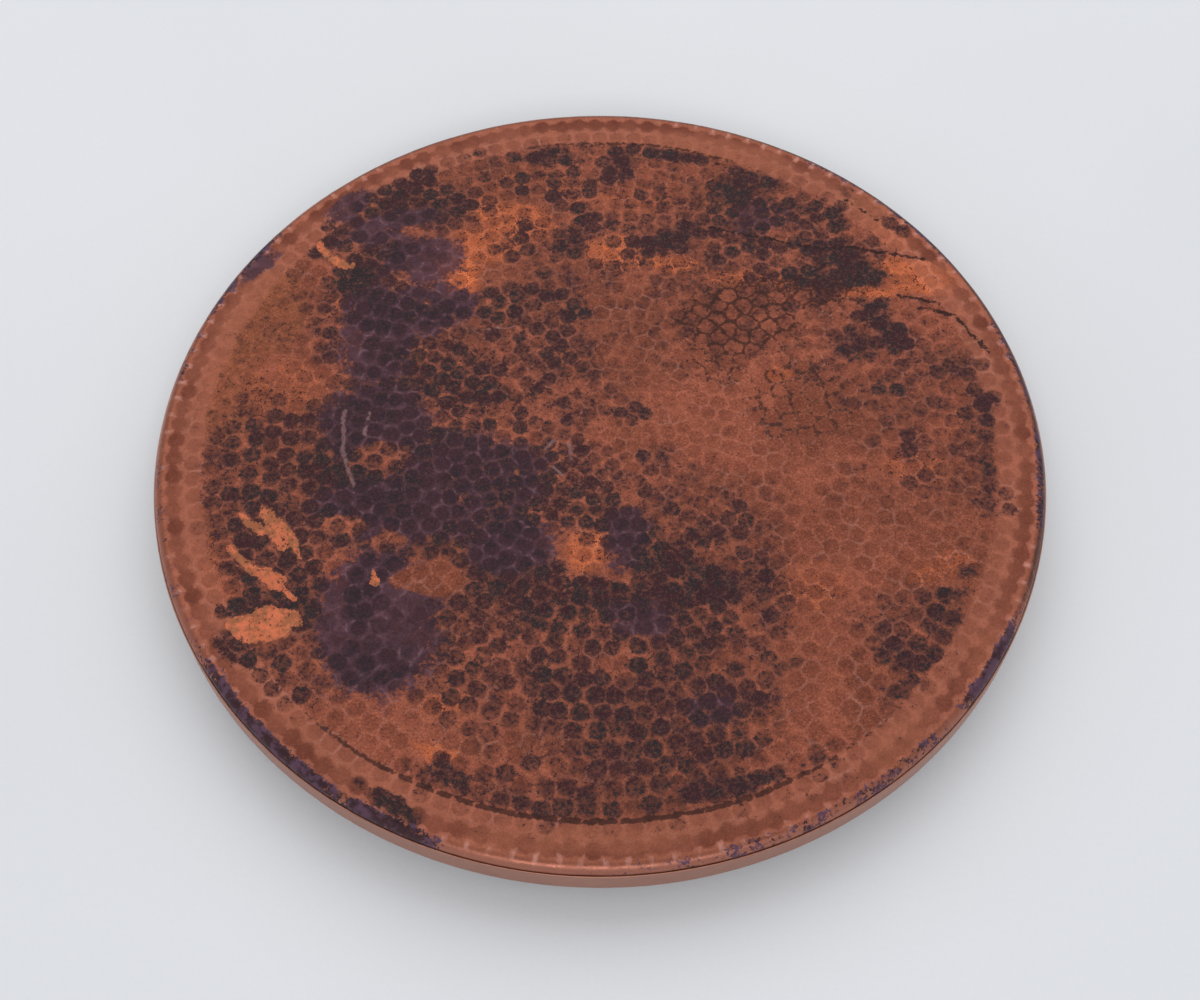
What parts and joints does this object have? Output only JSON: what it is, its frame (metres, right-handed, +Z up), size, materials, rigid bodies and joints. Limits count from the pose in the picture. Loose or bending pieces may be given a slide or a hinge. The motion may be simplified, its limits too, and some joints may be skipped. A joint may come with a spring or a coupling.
{
  "type": "hammered copper lazy susan",
  "caption": "Round board clad in hammered, fire-coloured sheet copper with a turned-down rim, turning on a square ball swivel over a low footed base.",
  "frame": {"origin": "on the table, midway between the four feet, on the turntable's axis of turning", "axes": "+Z up along the axis of turning, +Y towards the back, where the seam of the copper strip is"},
  "size_m": [0.4572, 0.4572, 0.0389],
  "materials": {
    "hammered_copper": "hammered satin copper with a dark fire patina",
    "plain_copper": "brushed copper",
    "fibre_board": "raw fibre board",
    "nail_copper": "dull copper",
    "plated_steel": "zinc plated",
    "screw_steel": "bright zinc",
    "cage_steel": "oiled steel",
    "ball_steel": "polished",
    "base_wood": "satin varnish",
    "foot_rubber": "matt"
  },
  "bodies": {
    "base": {"lower_race_plate": "plated_steel", "lower_plate_screws": "screw_steel", "base_board": "base_wood", "foot_front_left": "foot_rubber", "foot_front_right": "foot_rubber", "foot_rear_left": "foot_rubber", "foot_rear_right": "foot_rubber", "foot_screws": "screw_steel"},
    "ball_ring": {"ball_cage": "cage_steel", "bearing_balls": "ball_steel"},
    "turntable": {"copper_top": "hammered_copper", "edge_band": "plain_copper", "core_board": "fibre_board", "band_nails": "nail_copper", "upper_race_plate": "plated_steel", "upper_plate_screws": "screw_steel"}
  },
  "joints": [
    {"name": "turntable_spin", "type": "hinge", "parent": "base", "child": "turntable", "pos_m": [0, 0, 0.01495], "axis": [0, 0, 1], "continuous": true},
    {"name": "ball_orbit", "type": "hinge", "parent": "base", "child": "ball_ring", "pos_m": [0, 0, 0.01495], "axis": [0, 0, 1], "continuous": true}
  ],
  "couplings": [
    {"joint": "ball_orbit", "follows": "turntable_spin", "ratio": 0.5}
  ]
}
